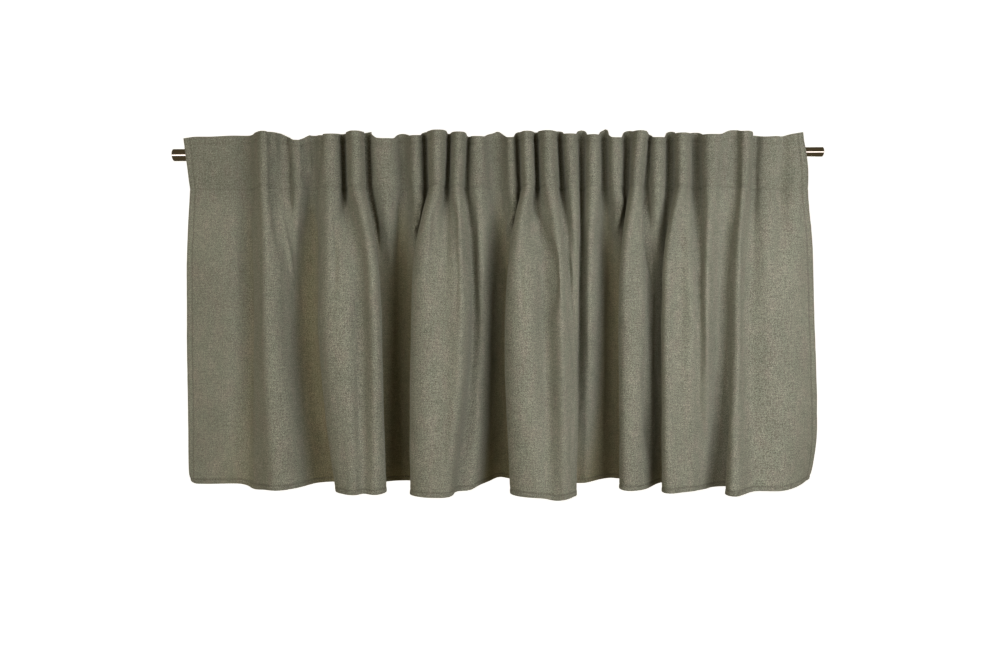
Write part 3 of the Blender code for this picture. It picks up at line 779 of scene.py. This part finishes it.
# ---- materials ------------------------------------------------------------
class Nodes:
    """Short hand for a material's node tree."""

    def __init__(self, name):
        self.mat = bpy.data.materials.new(name)
        self.mat.use_nodes = True
        self.tree = self.mat.node_tree
        self.shader = self.tree.nodes["Principled BSDF"]

    def add(self, kind, **values):
        node = self.tree.nodes.new(kind)
        for key, value in values.items():
            setattr(node, key, value)
        return node

    def link(self, a, b):
        self.tree.links.new(a, b)

    def feed(self, socket, value):
        if isinstance(value, bpy.types.NodeSocket):
            self.link(value, socket)
        else:
            socket.default_value = value

    def math(self, operation, a, b=0.0, c=0.0):
        node = self.add("ShaderNodeMath", operation=operation)
        for socket, value in zip(node.inputs, (a, b, c)):
            self.feed(socket, value)
        return node.outputs[0]

    def scaled(self, vector, x, y, z=1.0, offset=(0, 0, 0)):
        node = self.add("ShaderNodeMapping")
        self.link(vector, node.inputs["Vector"])
        node.inputs["Scale"].default_value = (x, y, z)
        node.inputs["Location"].default_value = offset
        return node.outputs[0]

    def noise(self, vector, scale=1.0, detail=2.0, rough=0.5, dims="2D"):
        node = self.add("ShaderNodeTexNoise", noise_dimensions=dims)
        self.link(vector, node.inputs["Vector"])
        node.inputs["Scale"].default_value = scale
        node.inputs["Detail"].default_value = detail
        node.inputs["Roughness"].default_value = rough
        return node.outputs["Fac"]

    def ramp(self, value, stops):
        node = self.add("ShaderNodeValToRGB")
        self.link(value, node.inputs["Fac"])
        while len(node.color_ramp.elements) < len(stops):
            node.color_ramp.elements.new(0.5)
        for element, (at, color) in zip(node.color_ramp.elements, stops):
            element.position = at
            element.color = color
        return node.outputs["Color"]

    def mix(self, how, fac, a, b):
        node = self.add("ShaderNodeMix", data_type="RGBA", blend_type=how)
        self.feed(node.inputs[0], fac)
        self.feed(node.inputs[6], a)
        self.feed(node.inputs[7], b)
        return node.outputs[2]

    def bump(self, height, strength, distance):
        node = self.add("ShaderNodeBump")
        node.inputs["Strength"].default_value = strength
        node.inputs["Distance"].default_value = distance
        self.link(height, node.inputs["Height"])
        self.link(node.outputs["Normal"], self.shader.inputs["Normal"])

    def set(self, **values):
        for key, value in values.items():
            self.feed(self.shader.inputs[key.replace("_", " ")], value)


def band(m, value, centre, half):
    """1 at the centre, 0 from half a band's width away."""
    off = m.math("ABSOLUTE", m.math("SUBTRACT", value, centre))
    return m.math("MAXIMUM", m.math("SUBTRACT", 1.0, m.math("DIVIDE", off, half)), 0.0)


def woven(name, width=0.0, tint=1.0):
    """Plain weave of uneven, slubby threads, grey green to khaki; a width adds grooves along the turned edges' stitch
    rows, painted shade along them and over the turned rims, and painted shade over the heading.
    """
    m = Nodes(name)
    uv = m.add("ShaderNodeUVMap", uv_map="weave").outputs[0]
    # long thin slubs down and across, short grain, and broad drift of shade
    down = m.noise(m.scaled(uv, 700.0, 50.0), detail=2.0, rough=0.6)
    over = m.noise(m.scaled(uv, 50.0, 700.0, offset=(7.1, 3.3, 0)), detail=2.0, rough=0.6)
    grain = m.noise(m.scaled(uv, 760.0, 820.0, offset=(1.7, 9.2, 0)), detail=1.0, rough=0.8)
    cell = m.add("ShaderNodeVectorMath", operation="SNAP")
    m.link(uv, cell.inputs[0])
    cell.inputs[1].default_value = (KNOT * MM, KNOT * MM, 1.0)
    knot = m.add("ShaderNodeTexWhiteNoise", noise_dimensions="2D")
    m.link(cell.outputs[0], knot.inputs["Vector"])
    drift = m.noise(m.scaled(uv, 14.0, 9.0, offset=(4.4, 2.6, 0)), detail=3.0, rough=0.55)
    hue = m.noise(m.scaled(uv, 60.0, 26.0, offset=(2.2, 6.6, 0)), detail=3.0, rough=0.6)
    value = m.math("ADD", m.math("MULTIPLY", down, 0.13), m.math("MULTIPLY", over, 0.17))
    value = m.math("ADD", value, m.math("MULTIPLY", grain, 0.52))
    value = m.math("ADD", value, m.math("MULTIPLY", knot.outputs["Value"], 0.18))
    calm = m.ramp(value, [(0.34, (0.56, 0.56, 0.55, 1)), (0.48, (0.95, 0.95, 0.95, 1)),
                          (0.58, (1.19, 1.19, 1.19, 1)), (0.68, (1.72, 1.72, 1.73, 1))])
    harsh = m.ramp(value, [(0.34, (0.44, 0.44, 0.43, 1)), (0.48, (0.93, 0.93, 0.93, 1)),
                           (0.57, (1.22, 1.22, 1.23, 1)), (0.67, (1.85, 1.85, 1.88, 1))])
    forward_grain_mix = m.add("ShaderNodeAttribute", attribute_name="forward_grain").outputs["Fac"]
    light = m.mix("MIX", forward_grain_mix, calm, harsh)
    tone = m.ramp(hue, [(0.30, (0.203 * tint, 0.206 * tint, 0.153 * tint, 1)),
                        (0.52, (0.215 * tint, 0.211 * tint, 0.159 * tint, 1)),
                        (0.72, (0.227 * tint, 0.211 * tint, 0.163 * tint, 1))])
    shade = m.ramp(drift, [(0.30, (0.94, 0.94, 0.94, 1)), (0.70, (1.06, 1.06, 1.06, 1))])
    color = m.mix("MULTIPLY", 1.0, m.mix("MULTIPLY", 1.0, tone, light), shade)
    # painted shade: the cloth's colour is made warmer and a little darker deep in the folds, standing in for the warm
    # light bounced in the recesses
    deep = m.add("ShaderNodeAttribute", attribute_name="deep").outputs["Fac"]
    painted_fold_warmth = m.mix("MIX", deep, (1.0, 1.0, 1.0, 1), (1.06, 0.98, 0.80, 1))
    color = m.mix("MULTIPLY", 1.0, color, painted_fold_warmth)
    split = m.add("ShaderNodeSeparateXYZ")
    m.link(uv, split.inputs[0])
    # over and under of the two thread sets
    warp = m.math("SINE", m.math("MULTIPLY", split.outputs[0], 2 * math.pi / 0.00095))
    weft = m.math("SINE", m.math("MULTIPLY", split.outputs[1], 2 * math.pi / 0.00105))
    knots = m.math("MULTIPLY", warp, weft)
    height = m.math("ADD", m.math("MULTIPLY", knots, 0.35), m.math("MULTIPLY", value, 1.6))
    if width:
        # painted shade: the turned edges are darkened, most along the hem and side stitch rows where the stitches
        # draw the cloth into a groove, less along the heading's stitch rows and over the turned rims
        flat = m.add("ShaderNodeSeparateXYZ")
        m.link(m.add("ShaderNodeUVMap", uv_map="cut").outputs[0], flat.inputs[0])
        across, level = flat.outputs[0], flat.outputs[1]
        lines = [band(m, level, (HEM + HEM_ROW) * MM, 0.0021), band(m, across, SIDE_HEM * MM, 0.0016),
                 band(m, across, width - SIDE_HEM * MM, 0.0019)]
        faint = [band(m, level, (TOP_EDGE - TOP_ROW) * MM, 0.0020), band(m, level, SEAM * MM, 0.0022)]
        strong = m.math("MAXIMUM", lines[0], m.math("MAXIMUM", lines[1], lines[2]))
        weak = m.math("MAXIMUM", faint[0], faint[1])
        rim = m.math("MAXIMUM", band(m, level, HEM * MM, HEM_ROW * MM),
                     m.math("MAXIMUM", band(m, across, 0.0, 0.003), band(m, across, width, 0.003)))
        painted_stitch_shade = m.math("ADD", m.math("MULTIPLY", strong, 0.42), m.math("MULTIPLY", weak, 0.20))
        painted_stitch_shade = m.math("MINIMUM", m.math("ADD", painted_stitch_shade, m.math("MULTIPLY", m.math("POWER", rim, 0.35), 0.16)), 0.55)
        # painted shade: the colour is mixed up to 55 percent towards near black along the stitch rows and the rims
        color = m.mix("MIX", painted_stitch_shade, color, (0.030, 0.027, 0.017, 1))
        height = m.math("SUBTRACT", height, m.math("MULTIPLY", strong, 1.2))
        # painted shade: the heading, from just below the lower stitch row up, is darkened to 0.865 of its colour,
        # standing in for the weaker light on the upper part of the cloth
        painted_heading_shade = m.math("MULTIPLY_ADD", level, 1 / 0.05, 0.04 / 0.05 - SEAM * MM / 0.05)
        painted_heading_shade = m.math("MAXIMUM", m.math("MINIMUM", painted_heading_shade, 1.0), 0.0)
        color = m.mix("MULTIPLY", painted_heading_shade, color, (0.865, 0.865, 0.86, 1))
    m.bump(height, 0.70, 0.00035)
    rough = m.math("ADD", m.math("MULTIPLY", value, 0.14), 0.80)
    m.set(Base_Color=color, Roughness=rough)
    m.shader.inputs["Specular IOR Level"].default_value = 0.22
    m.shader.inputs["Sheen Weight"].default_value = 0.16
    m.shader.inputs["Sheen Roughness"].default_value = 0.5
    m.shader.inputs["Sheen Tint"].default_value = (0.86, 0.85, 0.74, 1)
    return m.mat


def spun(name):
    """Sewing thread, matched to the cloth and a little lighter."""
    m = Nodes(name)
    where = m.add("ShaderNodeTexCoord").outputs["Object"]
    twist = m.noise(m.scaled(where, 900.0, 900.0, 900.0), detail=2.0, dims="3D")
    color = m.ramp(twist, [(0.35, (0.165, 0.155, 0.112, 1)), (0.65, (0.255, 0.245, 0.185, 1))])
    m.set(Base_Color=color, Roughness=0.75)
    m.bump(twist, 0.5, 0.0001)
    m.shader.inputs["Specular IOR Level"].default_value = 0.3
    return m.mat


def dark_steel(name):
    """Smooth bronzed steel tube, faintly drawn along its length."""
    m = Nodes(name)
    where = m.add("ShaderNodeTexCoord").outputs["Object"]
    drawn = m.noise(m.scaled(where, 6.0, 900.0, 900.0), detail=3.0, rough=0.6, dims="3D")
    cloud = m.noise(m.scaled(where, 30.0, 60.0, 60.0), detail=3.0, dims="3D")
    color = m.ramp(cloud, [(0.30, (0.295, 0.262, 0.245, 1)), (0.70, (0.365, 0.328, 0.310, 1))])
    rough = m.math("ADD", m.math("MULTIPLY", drawn, 0.08), 0.10)
    m.set(Base_Color=color, Roughness=rough)
    m.shader.inputs["Metallic"].default_value = 1.0
    m.bump(drawn, 0.25, 0.00004)
    return m.mat


def plain(name, color, rough, glow=0.0):
    m = Nodes(name)
    m.shader.inputs["Base Color"].default_value = color
    m.shader.inputs["Roughness"].default_value = rough
    m.shader.inputs["Specular IOR Level"].default_value = 0.1
    m.shader.inputs["Emission Color"].default_value = color
    m.shader.inputs["Emission Strength"].default_value = glow
    return m.mat


# ---- studio -----------------------------------------------------------------
def build_studio():
    """Round pale floor that curves up into a pale surround, camera and soft lights."""
    scene = bpy.context.scene
    scene.view_settings.view_transform = "Standard"
    profile = [(0.0, 0.0), (3.2, 0.0)]
    profile += [(3.2 + 1.6 * math.sin(a), 1.6 - 1.6 * math.cos(a)) for a in np.linspace(0, math.pi / 2, 14)[1:]]
    profile += [(4.8, 5.5)]
    bm = bmesh.new()
    rings = []
    for r, z in profile[1:]:
        rings.append([bm.verts.new((r * math.cos(t), r * math.sin(t), z - 1.35))
                      for t in np.linspace(0, 2 * math.pi, 97)[:-1]])
    bm.faces.new(rings[0])
    for low, high in zip(rings[:-1], rings[1:]):
        for k in range(96):
            bm.faces.new((low[k], low[(k + 1) % 96], high[(k + 1) % 96], high[k]))
    bmesh.ops.recalc_face_normals(bm, faces=bm.faces[:])
    bmesh.ops.reverse_faces(bm, faces=bm.faces[:])
    mesh = bpy.data.meshes.new("studio_floor")
    bm.to_mesh(mesh)
    bm.free()
    mesh.materials.append(plain("studio_paint", (0.97, 0.97, 0.965, 1), 0.9, 0.95))
    mesh.shade_smooth()
    floor = bpy.data.objects.new("studio_floor", mesh)
    scene.collection.objects.link(floor)
    floor.visible_diffuse = False
    floor.visible_glossy = False
    floor.visible_shadow = False

    world = bpy.data.worlds.new("studio")
    world.use_nodes = True
    world.node_tree.nodes["Background"].inputs[0].default_value = (1.0, 0.83, 0.45, 1)
    world.node_tree.nodes["Background"].inputs[1].default_value = WORLD
    scene.world = world
    for name, place, aim, size, power, color in LIGHTS:
        lamp = bpy.data.lights.new(name, "AREA")
        lamp.shape = "RECTANGLE"
        lamp.size, lamp.size_y = size
        lamp.energy = power
        lamp.color = color
        obj = bpy.data.objects.new(name, lamp)
        scene.collection.objects.link(obj)
        obj.location = place
        way = np.array(aim) - np.array(place)
        obj.rotation_euler = Vector(way).to_track_quat("-Z", "Y").to_euler()
        obj.visible_camera = False
        if name == "rod_strip":
            obj.visible_diffuse = False
        elif name != "back_box":
            obj.visible_glossy = False
    camera = bpy.data.cameras.new("camera")
    camera.sensor_width = 36.0
    camera.lens = 36.0 * VIEW / (1000 * STEP)
    eye = bpy.data.objects.new("camera", camera)
    scene.collection.objects.link(eye)
    eye.location = (0.0, -VIEW * MM, EYE * MM)
    eye.rotation_euler = (math.pi / 2, SLANT, 0.0)
    scene.camera = eye


WORLD = 0.165
LIGHTS = [  # name, place, aim (m), size (m), power (W), colour
    ("left_box", (-1.00, -1.95, 0.05), (0.0, 0.0, -0.25), (1.1, 1.2), 19.0, (1.0, 0.995, 0.985)),
    ("right_box", (0.90, -1.25, -0.05), (0.15, 0.0, -0.25), (0.9, 1.1), 18.4, (0.98, 1.0, 1.065)),
    ("back_box", (0.3, 2.6, 0.2), (0.0, 0.0, -0.3), (2.4, 1.6), 52.0, (1.0, 1.0, 1.0)),
    ("rod_strip", (0.0, -1.6, -0.37), (0.0, 0.0, 0.0), (3.4, 0.42), 30.0, (1.0, 0.98, 0.95)),
]


def main():
    drape = Drape()
    sheet = Sheet(drape)
    linen = woven("linen_weave", drape.width * MM)
    cloth = build_cloth(sheet, linen)
    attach(cloth, "root")
    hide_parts("valance_cloth")
    thread = spun("sewing_thread")
    stitches = build_stitches(sheet, thread)
    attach(stitches, "root")
    steel = dark_steel("dark_steel_tube")
    strap_mat = woven("strap_weave", 0.0, 0.9)
    tacks = ([], [])
    for number, (groove, across) in enumerate(LOOPS, 1):
        strap = build_strap(drape, number, groove, across, strap_mat, tacks)
        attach(strap, "root")
        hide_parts("hanging_loop_%02d" % number)
    tack = mesh_object("strap_stitches", *tacks, thread, None, 40.0)
    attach(tack, "root")
    for name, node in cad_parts.items():
        if name.startswith("rod_"):
            node.data.materials.clear()
            node.data.materials.append(steel)
            node.data.shade_smooth()
    build_studio()


main()
